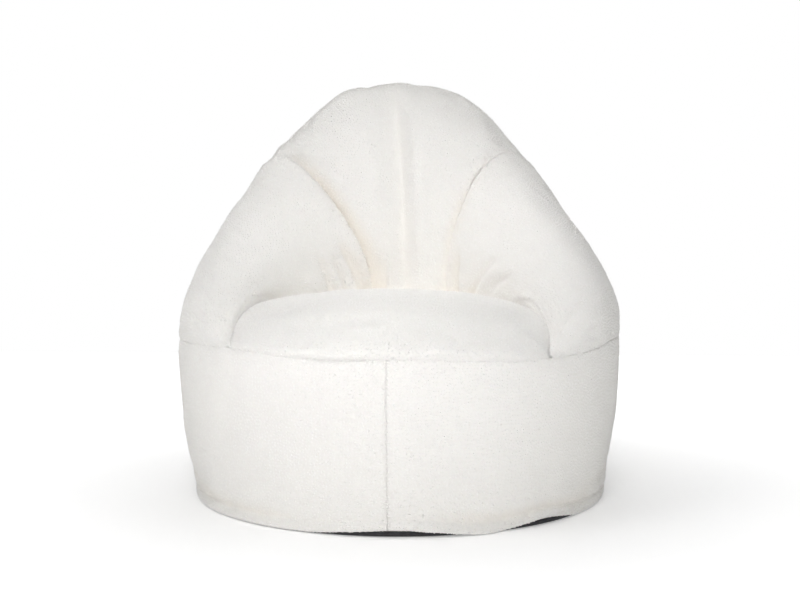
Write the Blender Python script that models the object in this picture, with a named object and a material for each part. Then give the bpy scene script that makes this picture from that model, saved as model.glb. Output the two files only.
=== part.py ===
"""A foam-filled bean bag chair: a round drum of two band halves on a black base cloth,
a crowned seat, and a tall hooded back sewn from two wings with a centre panel between them.

Metres, +Z up. The sitter faces -Y. The origin is on the floor under the middle of the base.
Every sewn piece is one filled solid under its own panel of cloth, a hair apart from the next.
"""

import math

import bmesh
import bpy
import numpy as np
from mathutils.geometry import tessellate_polygon

# ---- Driving dimensions -------------------------------------------------------------------

HALF_WIDTH = 0.437
HALF_DEPTH = 0.455
BASE_THICKNESS = 0.012
SQUARENESS = 0.020  # how far the drum's plan fills its corners at the top; it is rounder below
BASE_SHARE = 0.922  # the base cloth's edge, as a share of the drum's widest outline
LIP_SHARE = 0.0012  # how far the band's hem stays outside the base cloth's edge
DRUM_TOP = 0.298  # the level inner part of the drum's top, under the seat and the back
GAP = 0.0003  # between two pieces that are sewn edge to edge

# ---- Tables -------------------------------------------------------------------------------

# The upholstered back runs like a horseshoe from the left tip (station -7) round the rear
# (station 0) to the right tip (station +7). Each row holds one section of it:
# crease = where its inner face meets the seat, rim = its highest line, foot = where its outer
# face is sewn to the drum (degrees round from the rear), lean = how far the inner face bellies
# towards the sitter, crest and shoulder = how broad the rim is on its inner and outer side,
# belly = how far the outer face stands out.
BACK_ROWS = (
    # station, crease (x, y, z), rim (x, y, z), foot, lean, crest, shoulder, belly
    (-7, (-0.286, -0.334, 0.321), (-0.286, -0.334, 0.321), -138.5, 0.000, 0.001, 0.001, 0.000),
    (-6, (-0.290, -0.246, 0.357), (-0.354, -0.226, 0.394), -121.0, 0.002, 0.030, 0.036, 0.010),
    (-5, (-0.274, -0.148, 0.380), (-0.351, -0.112, 0.458), -104.0, 0.010, 0.054, 0.056, 0.016),
    (-4, (-0.236, -0.050, 0.384), (-0.329, -0.006, 0.532), -86.0, 0.022, 0.068, 0.070, 0.022),
    (-3, (-0.156, 0.046, 0.382), (-0.298, 0.084, 0.606), -67.0, 0.032, 0.080, 0.076, 0.024),
    (-2, (-0.063, 0.110, 0.376), (-0.262, 0.160, 0.672), -48.0, 0.000, 0.064, 0.100, 0.026),
    (-1, (-0.029, 0.124, 0.374), (-0.152, 0.228, 0.796), -26.0, 0.022, 0.094, 0.090, 0.040),
    (0, (0.000, 0.128, 0.374), (0.000, 0.252, 0.835), 0.0, 0.024, 0.104, 0.110, 0.050),
    (1, (0.044, 0.124, 0.374), (0.136, 0.224, 0.794), 26.0, 0.022, 0.094, 0.090, 0.040),
    (2, (0.088, 0.112, 0.375), (0.222, 0.160, 0.684), 47.0, 0.020, 0.104, 0.100, 0.026),
    (3, (0.162, 0.046, 0.377), (0.275, 0.084, 0.606), 67.0, 0.032, 0.080, 0.076, 0.024),
    (4, (0.231, -0.050, 0.376), (0.318, -0.006, 0.530), 86.0, 0.022, 0.066, 0.070, 0.022),
    (5, (0.264, -0.148, 0.370), (0.350, -0.112, 0.452), 104.0, 0.010, 0.054, 0.056, 0.016),
    (6, (0.284, -0.246, 0.347), (0.350, -0.226, 0.386), 121.0, 0.002, 0.030, 0.036, 0.010),
    (7, (0.283, -0.338, 0.307), (0.283, -0.338, 0.307), 139.3, 0.000, 0.001, 0.001, 0.000),
)
SEAM_STATIONS = (-2, 2)  # where the wings are sewn to the centre panel

# Sections between one station and the next, from the left tip to the right tip.
SECTION_STEPS = (4, 4, 5, 7, 9, 8, 5, 5, 8, 9, 7, 5, 4, 4)
INNER_STEPS = 18  # from the crease up to the rim
OUTER_STEPS = 12  # from the rim down to the foot
FRONT_STEPS = 16  # along the seat's front seam

# The drum's wall from the hem up to the top seam.
WALL_ROWS = (
    # height share, radius share
    (0.00, 0.926),
    (0.06, 0.934),
    (0.16, 0.947),
    (0.30, 0.963),
    (0.44, 0.978),
    (0.58, 0.989),
    (0.72, 0.998),
    (0.85, 1.000),
    (0.94, 0.996),
    (1.00, 0.989),
)
WALL_STEPS = 12

# The base cloth from the middle of its underside round its edge to the middle of its top.
BASE_ROWS = (
    # radius share, height share
    (0.00, 0.00),
    (0.50, 0.00),
    (0.97, 0.00),
    (0.99, 0.12),
    (1.00, 0.42),
    (1.00, 0.78),
    (0.99, 1.00),
    (0.50, 1.00),
    (0.00, 1.00),
)

# How high the top seam runs and how low the hem hangs, round from the rear.
SEAM_ROWS = (
    # turn in degrees, seam height, hem height
    (-180, 0.3135, 0.0120),
    (-170, 0.3100, 0.0080),
    (-158, 0.3125, 0.0030),
    (-138, 0.3210, 0.0030),
    (-115, 0.3160, 0.0030),
    (-90, 0.3110, 0.0040),
    (-45, 0.3060, 0.0060),
    (0, 0.3050, 0.0070),
    (45, 0.3070, 0.0060),
    (90, 0.3180, 0.0050),
    (112, 0.3210, 0.0040),
    (124, 0.3120, 0.0080),
    (136, 0.3075, 0.0110),
    (146, 0.3050, 0.0080),
    (156, 0.3070, 0.0030),
    (168, 0.3120, 0.0080),
    (180, 0.3135, 0.0120),
)

# Troughs (depth below 0) and ridges in the back's cloth. Each runs from one station and
# height to another; heights go from 0 at the crease, by 1 at the rim, to 2 at the foot.
BACK_FOLDS = (
    # name, station from, height from, station to, height to, half width, depth
    ("left_seam", -2.00, 0.00, -2.00, 2.00, 0.013, -0.010),
    ("right_seam", 2.00, 0.00, 2.00, 2.00, 0.016, -0.008),
    ("left_crease", -2.05, 0.00, -2.00, 0.95, 0.022, -0.020),
    ("left_roll", -1.45, 0.00, -1.72, 0.85, 0.016, 0.014),
    ("left_gather", -0.95, 0.00, -1.30, 0.72, 0.024, -0.014),
    ("middle_pleat", 0.10, 0.00, -0.10, 0.86, 0.030, -0.016),
    ("middle_swell", 0.90, 0.10, 0.55, 0.90, 0.060, 0.010),
    ("right_crease", 1.90, 0.00, 1.98, 0.80, 0.030, -0.016),
    ("left_pucker_low", -2.62, 0.00, -2.95, 0.34, 0.014, -0.008),
    ("left_pucker_high", -2.30, 0.00, -2.52, 0.50, 0.014, -0.009),
    ("right_pucker_low", 2.55, 0.00, 2.90, 0.32, 0.015, -0.008),
    ("right_pucker_high", 2.26, 0.00, 2.50, 0.42, 0.014, -0.008),
)

# The same for the drum's wall, by turn from the rear and share of its height. Widths and depths
# are shares of the wall's height and of the drum's reach.
WALL_FOLDS = (
    # name, turn from, height from, turn to, height to, half width, depth
    ("right_hem_trough", 174, 0.085, 104, 0.075, 0.035, -0.013),
    ("right_hem_swell", 176, 0.000, 148, 0.000, 0.050, 0.022),
    ("left_hem_trough", -100, 0.090, -160, 0.075, 0.035, -0.012),
    ("left_low_fold", -96, 0.200, -128, 0.100, 0.040, -0.010),
    ("right_low_fold", 132, 0.130, 92, 0.210, 0.045, -0.008),
    ("left_band_swell", -60, 0.450, -118, 0.420, 0.180, 0.004),
)

SEAT_CENTRE = (0.0, -0.135)
SEAT_TOP = 0.408
SEAT_RINGS = (0.0, 0.22, 0.42, 0.60, 0.74, 0.85, 0.93, 0.975, 1.0)

CLOTH = {"boucle": ((0.90, 0.885, 0.86), 0.95), "base_cloth": ((0.02, 0.02, 0.022), 0.85)}


# ---- Curves -------------------------------------------------------------------------------


def spline(stations, values, at):
    """The value at one place of a smooth curve through the values at the given stations."""
    stations = np.asarray(stations, float)
    values = np.asarray(values, float)
    last = len(stations) - 1
    k = int(np.clip(np.searchsorted(stations, at, side="right") - 1, 0, last - 1))
    span = stations[k + 1] - stations[k]
    t = (at - stations[k]) / span

    def slope(i):
        if i == 0 or i == last:
            j = min(i, last - 1)
            return (values[j + 1] - values[j]) / (stations[j + 1] - stations[j])
        return (values[i + 1] - values[i - 1]) / (stations[i + 1] - stations[i - 1])

    start, end = slope(k) * span, slope(k + 1) * span
    return (
        (2 * t**3 - 3 * t**2 + 1) * values[k]
        + (t**3 - 2 * t**2 + t) * start
        + (3 * t**2 - 2 * t**3) * values[k + 1]
        + (t**3 - t**2) * end
    )


def bezier(a, b, c, d, t):
    """A point of the cubic Bezier curve from a to d, with b and c as its handles."""
    s = 1 - t
    return s**3 * a + 3 * s * s * t * b + 3 * s * t * t * c + t**3 * d


def smooth(t):
    t = min(max(t, 0.0), 1.0)
    return t * t * (3 - 2 * t)


def outline(turn, share, height=0.0):
    """The point of the drum's plan at a turn from the rear, in degrees, and at shares of its reach and height."""
    a = math.radians(turn)
    reach = share * (1 + SQUARENESS * height * math.sin(2 * a) ** 2)
    return reach * HALF_WIDTH * math.sin(a), reach * HALF_DEPTH * math.cos(a)


def seam_height(turn):
    turn = (turn + 180) % 360 - 180
    return spline([r[0] for r in SEAM_ROWS], [r[1] for r in SEAM_ROWS], turn)


def hem_height(turn):
    turn = (turn + 180) % 360 - 180
    return spline([r[0] for r in SEAM_ROWS], [r[2] for r in SEAM_ROWS], turn)


def seam_point(turn):
    """Where the band's top edge is sewn to what stands on it."""
    x, y = outline(turn, WALL_ROWS[-1][1], 1.0)
    return np.array([x, y, seam_height(turn)])


def drum_top(x, y):
    """The height of the drum's top, hidden under the seat and the back: level, and curved only near its edge."""
    turn = math.degrees(math.atan2(x, y))
    edge_x, edge_y = outline(turn, WALL_ROWS[-1][1], 1.0)
    share = math.hypot(x, y) / math.hypot(edge_x, edge_y)
    return DRUM_TOP + (seam_height(turn) - DRUM_TOP) * smooth((share - 0.6) / 0.4)


# ---- The back's sections ------------------------------------------------------------------


def back_section(station):
    """The points of one section of the back, from the crease over the rim to the foot."""
    at = [row[0] for row in BACK_ROWS]
    crease, rim, turn, lean, crest, shoulder, belly = (
        spline(at, [row[column] for row in BACK_ROWS], station) for column in range(1, 8)
    )
    foot = seam_point(turn)
    across = foot - crease
    across[2] = 0
    across /= max(np.linalg.norm(across), 1e-9)
    up = np.array([0.0, 0.0, 1.0])
    rise = rim[2] - crease[2]
    drop = rim[2] - foot[2]
    points = [
        bezier(
            crease,
            crease + up * 0.42 * rise - across * lean,
            rim - across * crest - up * 0.02 * rise,
            rim,
            t,
        )
        for t in np.linspace(0, 1, INNER_STEPS + 1)
    ]
    points += [
        bezier(
            rim,
            rim + across * shoulder,
            foot + up * 0.46 * drop + across * belly,
            foot,
            t,
        )
        for t in np.linspace(0, 1, OUTER_STEPS + 1)[1:]
    ]
    return np.array(points)


def stations():
    """The places of the back's sections, closer together beside its seams."""
    places = [float(BACK_ROWS[0][0])]
    for row, steps in zip(BACK_ROWS[:-1], SECTION_STEPS, strict=True):
        shares = np.arange(1, steps + 1) / steps
        if row[0] in SEAM_STATIONS:
            shares = shares**1.5
        elif row[0] + 1 in SEAM_STATIONS:
            shares = 1 - (1 - shares) ** 1.5
        places += list(row[0] + shares)
    return np.array(places)


def normals_of(grid):
    along = np.gradient(grid, axis=0)
    up = np.gradient(grid, axis=1)
    found = np.cross(along, up)
    length = np.linalg.norm(found, axis=2, keepdims=True)
    return found / np.maximum(length, 1e-9)


def folded(grid, places):
    """The back's grid with every fold of the table pressed into it or raised from it."""
    heights = np.concatenate(
        [np.linspace(0, 1, INNER_STEPS + 1), np.linspace(1, 2, OUTER_STEPS + 1)[1:]]
    )
    outward = normals_of(grid)
    step = np.linalg.norm(np.gradient(grid, places, axis=0), axis=2)
    push = np.zeros(grid.shape[:2])
    for _, s0, h0, s1, h1, half_width, depth in BACK_FOLDS:
        for j, h in enumerate(heights):
            t = (h - h0) / (h1 - h0)
            if not 0 <= t <= 1:
                continue
            fade = (smooth((1 - t) / 0.45) if h1 < 1.9 else 1.0) * smooth(h / 0.08) * smooth((2 - h) / 0.2)
            path = s0 + (s1 - s0) * t
            away = (places - path) * step[:, j] / half_width
            push[:, j] += depth * fade * np.exp(-away * away)
    push[0] = push[-1] = 0
    push[:, -1] = 0
    return grid + outward * push[:, :, None]


# ---- Building solids from patches ---------------------------------------------------------


class Solid:
    """Collects the patches of one closed piece, then makes its mesh object.

    Patches that meet share their edge points exactly. A joint patch draws back by half the gap
    from the neighbour that has the same patch, so the two pieces never touch.
    """

    def __init__(self, name, cloth):
        self.name, self.cloth = name, cloth
        self.keys, self.points, self.faces, self.retreats = {}, [], [], {}

    def vertex(self, point):
        key = tuple(int(round(c * 1e6)) for c in point)
        if key not in self.keys:
            self.keys[key] = len(self.points)
            self.points.append(np.array(point, float))
        return self.keys[key]

    def face(self, corners, smooth_shaded):
        ids = [self.vertex(p) for p in corners]
        ids = [v for k, v in enumerate(ids) if v != ids[k - 1]]
        if len(set(ids)) >= 3:
            self.faces.append((ids, smooth_shaded))

    def skin(self, grid):
        """Adds a grid of quads that shows."""
        for a, b in zip(grid[:-1], grid[1:], strict=True):
            for k in range(len(a) - 1):
                self.face([a[k], a[k + 1], b[k + 1], b[k]], True)

    def joint(self, grid, away):
        """Adds a hidden grid of triangles, and draws it back along away: one vector, or a grid of them."""
        away = np.broadcast_to(np.asarray(away, float), np.shape(grid))
        for i in range(len(grid) - 1):
            for k in range(len(grid[i]) - 1):
                a, b = grid[i][k], grid[i][k + 1]
                c, d = grid[i + 1][k + 1], grid[i + 1][k]
                self.face([a, b, c], False)
                self.face([a, c, d], False)
        for row, pulls in zip(grid, away, strict=True):
            for point, pull in zip(row, pulls, strict=True):
                pulled = self.retreats.setdefault(self.vertex(point), [])
                if not any(np.allclose(pull, other, atol=0.3) for other in pulled):
                    pulled.append(pull)

    def cap(self, ring, away):
        """Closes a ring of points with hidden triangles, drawn back along away."""
        for corners in tessellate_polygon([[tuple(p) for p in ring]]):
            self.face([ring[i] for i in corners], False)
        for point in ring:
            self.retreats.setdefault(self.vertex(point), []).append(np.asarray(away, float))

    def build(self):
        for index, pulls in self.retreats.items():
            self.points[index] = self.points[index] + GAP / 2 * np.sum(pulls, axis=0)
        mesh = bpy.data.meshes.new(self.name)
        bm = bmesh.new()
        verts = [bm.verts.new(p) for p in self.points]
        for ids, smooth_shaded in self.faces:
            face = bm.faces.new([verts[i] for i in ids])
            face.smooth = smooth_shaded
        bmesh.ops.recalc_face_normals(bm, faces=bm.faces)
        bm.to_mesh(mesh)
        bm.free()
        mesh.materials.append(material(self.cloth))
        part = bpy.data.objects.new(self.name, mesh)
        bpy.context.scene.collection.objects.link(part)
        return part


def material(name):
    made = bpy.data.materials.get(name) or bpy.data.materials.new(name)
    made.use_nodes = True
    colour, roughness = CLOTH[name]
    shader = made.node_tree.nodes["Principled BSDF"]
    shader.inputs["Base Color"].default_value = (*colour, 1)
    shader.inputs["Roughness"].default_value = roughness
    return made


UP = np.array([0.0, 0.0, 1.0])


# ---- Shared lines -------------------------------------------------------------------------


def shared_lines():
    """The back's folded grid, and the lines that it shares with the drum and the seat."""
    places = stations()
    grid = folded(np.array([back_section(s) for s in places]), places)
    creases = grid[:, 0].copy()
    sills = creases.copy()  # straight below the crease, on the drum's top
    sills[:, 2] = [drum_top(x, y) for x, y in creases[:, :2]]
    sills[0] = creases[0] = grid[0, :] = seam_point(BACK_ROWS[0][3])
    sills[-1] = creases[-1] = grid[-1, :] = seam_point(BACK_ROWS[-1][3])
    grid[:, 0] = creases
    return places, grid, creases, sills


def across_top(inner, outer, shares):
    """Points between two points on the drum's top, following its height."""
    points = []
    for share in shares:
        point = outer.copy() if share == 1 else inner + (outer - inner) * share
        if 0 < share < 1:
            point[2] = drum_top(point[0], point[1])
        points.append(point)
    return points


FLOOR_SHARES = (0.0, 0.35, 0.7, 1.0)


def back_floor(grid, sills):
    """The hidden underside of the back: one row for each section, from below the crease to the foot."""
    return np.array([across_top(s, g[-1], FLOOR_SHARES) for s, g in zip(sills, grid, strict=True)])


def front_turns():
    left, right = BACK_ROWS[0][3], BACK_ROWS[-1][3]
    first_half = np.linspace(right, 180, FRONT_STEPS // 2 + 1)
    return np.concatenate([first_half, np.linspace(180, 360 + left, FRONT_STEPS // 2 + 1)[1:]])


# ---- The pieces ---------------------------------------------------------------------------


def inward_from(line):
    """Level unit vectors square to a line of points, pointing at the seat."""
    along = np.gradient(line, axis=0)
    square = np.stack([along[:, 1], -along[:, 0], np.zeros(len(line))], axis=1)
    return square / np.maximum(np.linalg.norm(square, axis=1, keepdims=True), 1e-9)


def back_panel(name, grid, creases, sills, floor, first, last):
    """One panel of the back, from section first to section last, with all the filling behind it."""
    panel = Solid(name, "boucle")
    run = slice(first, last + 1)
    panel.skin(grid[run])
    panel.joint(floor[run], UP)
    towards_seat = inward_from(sills)
    wall = np.stack([sills, creases], axis=1)
    pulls = np.stack([-towards_seat, -towards_seat], axis=1)
    panel.joint(wall[run], pulls[run])
    for index, step in ((first, 1), (last, -1)):
        if 0 < index < len(grid) - 1:
            ring = [*grid[index], *floor[index][-2::-1]]
            along = grid[index + step].mean(axis=0) - grid[index].mean(axis=0)
            panel.cap(ring, along / np.linalg.norm(along))
    return panel.build()


def seat_border(creases, turns):
    """The seat's closed edge: the crease round the back, then the front seam."""
    return np.concatenate([creases, [seam_point(t) for t in turns[1:-1]]])


def seat_grids(creases, sills, turns):
    """The seat's crowned top and hidden underside, as rings that start at its middle."""
    edge = seat_border(creases, turns)
    below = seat_border(sills, turns)
    x0, y0 = SEAT_CENTRE
    top, under = [], []
    for share in SEAT_RINGS:
        ring = []
        for point in edge:
            if share == 1:
                ring.append(list(point))
                continue
            facing_front = (y0 - point[1]) / math.hypot(point[0] - x0, point[1] - y0)
            crown = (1 - share**2.6) ** (0.76 - 0.14 * facing_front)
            ring.append(
                [
                    x0 + (point[0] - x0) * share,
                    y0 + (point[1] - y0) * share,
                    point[2] + (SEAT_TOP - point[2]) * crown,
                ]
            )
        top.append(ring)
    middle = np.array([x0, y0, DRUM_TOP])
    under = [
        [across_top(middle, point, (share,))[0] for point in below] for share in (0.0, 0.5, 1.0)
    ]
    return np.array(top), np.array(under)


def closed(rings):
    """The same rings with each one's first point repeated at its end."""
    return np.concatenate([rings, rings[:, :1]], axis=1)


def seat_panel(creases, sills, turns):
    """The crowned seat, with all the filling between it and the drum's top."""
    top, under = seat_grids(creases, sills, turns)
    panel = Solid("seat", "boucle")
    panel.skin(closed(top))
    panel.joint(closed(under), UP)
    towards_seat = inward_from(sills)
    wall = np.stack([sills, creases], axis=1)
    panel.joint(wall, np.stack([towards_seat, towards_seat], axis=1))
    return panel.build()


def wall_column(turn, foot):
    """The points of the drum's wall at one turn, from the hem up to the foot of what stands on it."""
    heights = [row[0] for row in WALL_ROWS]
    reaches = [row[1] for row in WALL_ROWS]
    low = hem_height(turn)
    points = []
    for step in np.linspace(0, 1, WALL_STEPS + 1):
        height = step**1.35
        x, y = outline(turn, spline(heights, reaches, height) + wall_fold(turn, height), height)
        points.append([x, y, low + (foot[2] - low) * height])
    points[-1] = list(foot)
    return points


def wall_fold(turn, height):
    """How far the folds of the table move the wall here, as a share of its reach."""
    push = 0.0
    for _, turn0, height0, turn1, height1, half_width, depth in WALL_FOLDS:
        along = ((turn - turn0 + 180) % 360 - 180) / (turn1 - turn0)
        if 0 < along < 1:
            away = (height - height0 - (height1 - height0) * along) / half_width
            ends = smooth(min(along, 1 - along) / 0.25)
            push += depth * ends * math.exp(-away * away)
    return push


def ring_round(grid, turns):
    """Every column of the drum once, as (turn, foot): the back's sections, then along the seat's front."""
    at = [row[0] for row in BACK_ROWS]
    feet = [row[3] for row in BACK_ROWS]
    ring = [(spline(at, feet, s), g[-1]) for s, g in zip(stations(), grid, strict=True)]
    return ring + [(turn, seam_point(turn)) for turn in turns[1:-1]]


def band_half(name, side, ring, floor, seat_under):
    """One half of the drum, from the rear middle to the front middle: the band and the filling behind it."""
    rear = len(floor) // 2
    front = len(floor) - 1 + FRONT_STEPS // 2
    run = [*range(rear, front + 1)] if side > 0 else [*range(front, len(ring)), *range(rear + 1)]
    half = Solid(name, "boucle")
    wall = np.array([wall_column(*ring[i]) for i in run])
    half.skin(wall)
    half.joint(floor[[i for i in run if i < len(floor)]], -UP)
    half.joint(seat_under[:, run], -UP)
    # The underside turns in over the base cloth's edge, then runs level to the middle.
    middle = np.array([0.0, 0.0, BASE_THICKNESS])
    lip = np.array([[*outline(ring[i][0], BASE_SHARE + LIP_SHARE), BASE_THICKNESS] for i in run])
    half.joint(np.stack([wall[:, 0], lip], axis=1), (0, 0, 0))
    half.joint(np.stack([lip, np.broadcast_to(middle, lip.shape)], axis=1), UP * 2)
    # The flat face against the other half, from the rear hem round to the front hem.
    rear_end, front_end = (0, -1) if side > 0 else (-1, 0)
    ring_points = [
        *wall[rear_end],
        *floor[rear][-2::-1],
        *seat_under[-2::-1, rear],
        *seat_under[1:, front],
        *wall[front_end][-2::-1],
        lip[front_end],
        middle,
        lip[rear_end],
    ]
    half.cap(ring_points, (side, 0, 0))
    return half.build()


def base_cloth(ring):
    """The black non-slip cloth under the drum, drawn tight over the filling's edge."""
    cloth = Solid("base", "base_cloth")
    grid = []
    for share, height in BASE_ROWS:
        round_once = [[*outline(turn, BASE_SHARE * share), height * BASE_THICKNESS] for turn, _ in ring]
        grid.append([*round_once, round_once[0]])
    cloth.skin(np.array(grid))
    return cloth.build()


def main():
    for leftover in list(bpy.data.objects):
        bpy.data.objects.remove(leftover)
    places, grid, creases, sills = shared_lines()
    floor = back_floor(grid, sills)
    turns = front_turns()
    left_seam, right_seam = (int(np.argmin(abs(places - s))) for s in SEAM_STATIONS)
    panels = (
        ("left_wing", 0, left_seam),
        ("back_centre", left_seam, right_seam),
        ("right_wing", right_seam, len(grid) - 1),
    )
    for name, first, last in panels:
        back_panel(name, grid, creases, sills, floor, first, last)
    seat_panel(creases, sills, turns)
    under = seat_grids(creases, sills, turns)[1]
    ring = ring_round(grid, turns)
    band_half("band_left", -1, ring, floor, under)
    band_half("band_right", 1, ring, floor, under)
    base_cloth(ring)


main()
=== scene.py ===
# %% [markdown]
# # A foam-filled bean bag chair in cream looped-pile cloth
#
# The chair is a round drum of shredded foam with a tall hooded back. Its cover is cut from seven
# panels: two halves of the drum's band, a crowned seat, two side wings, a middle panel that runs up
# the inner back, over the top and down the rear, and a black non-slip cloth underneath. This script
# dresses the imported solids. It draws every panel again with many more points, blows it up as cloth
# from the inside, sews its edges down, and covers it with small curls of yarn.

# %% Load the frame
import math

import bmesh
import bpy
import numpy as np
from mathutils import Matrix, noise
from mathutils.geometry import tessellate_polygon


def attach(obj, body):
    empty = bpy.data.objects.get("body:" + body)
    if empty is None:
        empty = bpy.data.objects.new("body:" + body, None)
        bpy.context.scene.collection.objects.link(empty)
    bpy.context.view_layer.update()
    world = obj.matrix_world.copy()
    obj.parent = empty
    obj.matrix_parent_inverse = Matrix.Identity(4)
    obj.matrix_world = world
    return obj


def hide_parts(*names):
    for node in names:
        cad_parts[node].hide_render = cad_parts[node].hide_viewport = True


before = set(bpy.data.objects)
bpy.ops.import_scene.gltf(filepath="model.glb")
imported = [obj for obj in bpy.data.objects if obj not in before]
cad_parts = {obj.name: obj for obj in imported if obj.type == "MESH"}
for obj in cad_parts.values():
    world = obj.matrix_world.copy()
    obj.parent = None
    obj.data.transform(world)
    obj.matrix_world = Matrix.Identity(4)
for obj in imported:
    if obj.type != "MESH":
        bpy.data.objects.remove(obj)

scene = bpy.context.scene
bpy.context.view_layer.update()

# %% [markdown]
# ## The camera
#
# The view is from the front, a little to the sitter's left, at about the height of the wings. A
# longish lens from nearly three metres keeps the drum from bulging at the viewer.

# %% Camera
CAMERA_TURN = 3.0  # degrees round from straight in front
CAMERA_AWAY = 2.90
CAMERA_HEIGHT = 0.60
CAMERA_DIP = 4.3  # degrees below level
CAMERA_LENS = 65.4
camera = bpy.data.objects.new("camera", bpy.data.cameras.new("camera"))
camera.data.lens = CAMERA_LENS
turned = math.radians(CAMERA_TURN)
camera.location = (CAMERA_AWAY * math.sin(turned), -CAMERA_AWAY * math.cos(turned), CAMERA_HEIGHT)
camera.rotation_euler = (math.radians(90 - CAMERA_DIP), 0, turned)
scene.collection.objects.link(camera)
scene.camera = camera
print("camera at", [round(c, 3) for c in camera.location])

# %% [markdown]
# ## Floor, daylight and soft lamps
#
# White cloth on a white floor needs light from nearly everywhere, or its own shade turns grey. A
# floor that glows a little away from the chair does part of it. A broad lamp in front and one above
# light the whole form, and a smaller one high on the viewer's left lets the right side of the drum
# fall off a little. A narrow one lifts the seat, and one behind serves the views of the rear.

# %% Floor and sky
scene.view_settings.view_transform = "Standard"
scene.view_settings.look = "None"


def fill_inputs(tree, node, inputs):
    """Gives each input of a node its value, or its links if other nodes' outputs are given."""
    for label, given in inputs.items():
        for value in given if isinstance(given, list) else [given]:
            if isinstance(value, bpy.types.NodeSocket):
                tree.links.new(value, node.inputs[label])
            else:
                node.inputs[label].default_value = value


def add_node(tree, kind, inputs=None, **settings):
    """Adds a node to the tree and gives back its outputs."""
    node = tree.nodes.new(kind)
    for setting, value in settings.items():
        setattr(node, setting, value)
    fill_inputs(tree, node, inputs or {})
    return node.outputs


def plain_material(name, colour, roughness):
    made = bpy.data.materials.new(name)
    made.use_nodes = True
    shader = made.node_tree.nodes["Principled BSDF"]
    fill_inputs(made.node_tree, shader, {"Base Color": (*colour, 1), "Roughness": roughness})
    return made, made.node_tree, shader


def object_place(tree):
    return add_node(tree, "ShaderNodeTexCoord")["Object"]


def add_object(name, data):
    made = bpy.data.objects.new(name, data)
    scene.collection.objects.link(made)
    return made


def mesh_of(name, grid, ring=False):
    """A mesh of a grid, with points in the same place made one, and where each grid point went."""
    count, width = grid.shape[:2]
    points, index = np.unique(np.round(grid.reshape(-1, 3), 6), axis=0, return_inverse=True)
    index = index.reshape(count, width)
    columns = range(width if ring else width - 1)
    faces = []
    for i in range(count - 1):
        for k in columns:
            n = (k + 1) % width
            corners = [index[i, k], index[i, n], index[i + 1, n], index[i + 1, k]]
            corners = [c for j, c in enumerate(corners) if c != corners[j - 1]]
            if len(set(corners)) >= 3:
                faces.append(corners)
    mesh = bpy.data.meshes.new(name)
    mesh.from_pydata(points.tolist(), [], faces)
    return mesh, index


FLOOR_REACH = 2.4
FLOOR_COLOUR = (0.93, 0.93, 0.93)
FLOOR_GLOW = {"From Min": 0.45, "From Max": 1.3, "To Min": 0.28, "To Max": 0.9}  # metres, strengths
floor_paint, floor_tree, floor_shader = plain_material("floor_paint", FLOOR_COLOUR, 0.9)
away = add_node(
    floor_tree, "ShaderNodeVectorMath", {0: object_place(floor_tree)}, operation="LENGTH"
)
glow = add_node(floor_tree, "ShaderNodeMapRange", {"Value": away["Value"], **FLOOR_GLOW})
emission = {"Emission Color": (1, 1, 1, 1), "Emission Strength": glow["Result"]}
fill_inputs(floor_tree, floor_shader, emission)
floor_lines = np.linspace(-FLOOR_REACH, FLOOR_REACH, 5)
floor_grid = np.array([[(x, y, 0) for x in floor_lines] for y in floor_lines])
floor = add_object("floor", mesh_of("floor", floor_grid)[0])
floor.data.materials.append(floor_paint)

sky = bpy.data.worlds.new("sky")
scene.world = sky
sky.use_nodes = True
background = sky.node_tree.nodes["Background"]
fill_inputs(sky.node_tree, background, {"Color": (1, 1, 1, 1), "Strength": 1.0})
sky.cycles_visibility.diffuse = sky.cycles_visibility.glossy = False  # it shows, and lights nothing
print("floor", 2 * FLOOR_REACH, "m across")

# %% Lamps
LAMPS = (
    # name, place, aim, width, spread in degrees, watts
    ("front_lamp", (0.1, -3.2, 1.8), (0, -0.1, 0.35), 2.4, 180, 46),
    ("high_left_lamp", (-1.8, -1.6, 2.4), (0, 0, 0.4), 1.6, 180, 14),
    ("top_lamp", (0, 0.1, 2.9), (0, 0, 0.4), 2.4, 180, 21),
    ("seat_lamp", (0, -2.3, 2.2), (0, -0.02, 0.36), 0.5, 24, 0.7),
    ("rear_lamp", (0, 3.2, 1), (0, 0, 0.4), 2.4, 180, 40),
)
for lamp_name, place, aim, width, spread, watts in LAMPS:
    lamp = add_object(lamp_name, bpy.data.lights.new(lamp_name, "AREA"))
    lamp.data.shape = "RECTANGLE"
    lamp.data.size = lamp.data.size_y = width
    lamp.data.spread = math.radians(spread)
    lamp.data.energy = watts
    lamp.location = place
    heading = np.subtract(aim, place)
    lamp.rotation_euler = (
        math.atan2(math.hypot(heading[0], heading[1]), -heading[2]),
        0,
        math.atan2(heading[0], -heading[1]) + math.pi,
    )
    lamp.visible_camera = False
print(len(LAMPS), "lamps")

# %% [markdown]
# ## The sizes of the cover
#
# The panels are cut to a few tables. One row of the back's table is one section through the
# upholstered back, which runs like a horseshoe from the left tip (station -7) round the rear
# (station 0) to the right tip (station 7). Heights on the back go from 0 at the crease, by 1 at the
# rim, to 2 at the foot, where it is sewn to the drum. The drum is measured by its turn in degrees
# from the rear. A smooth curve through each column gives the shape between the rows.

# %% Sizes and tables
HALF_WIDTH = 0.437
HALF_DEPTH = 0.455
SQUARENESS = 0.02
BASE_THICKNESS = 0.012
BASE_SHARE = 0.922
DRUM_TOP = 0.298
SEAT_CENTRE = (0.0, -0.135)
SEAT_TOP = 0.408
SEAM_STATIONS = (-2.0, 2.0)

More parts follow.
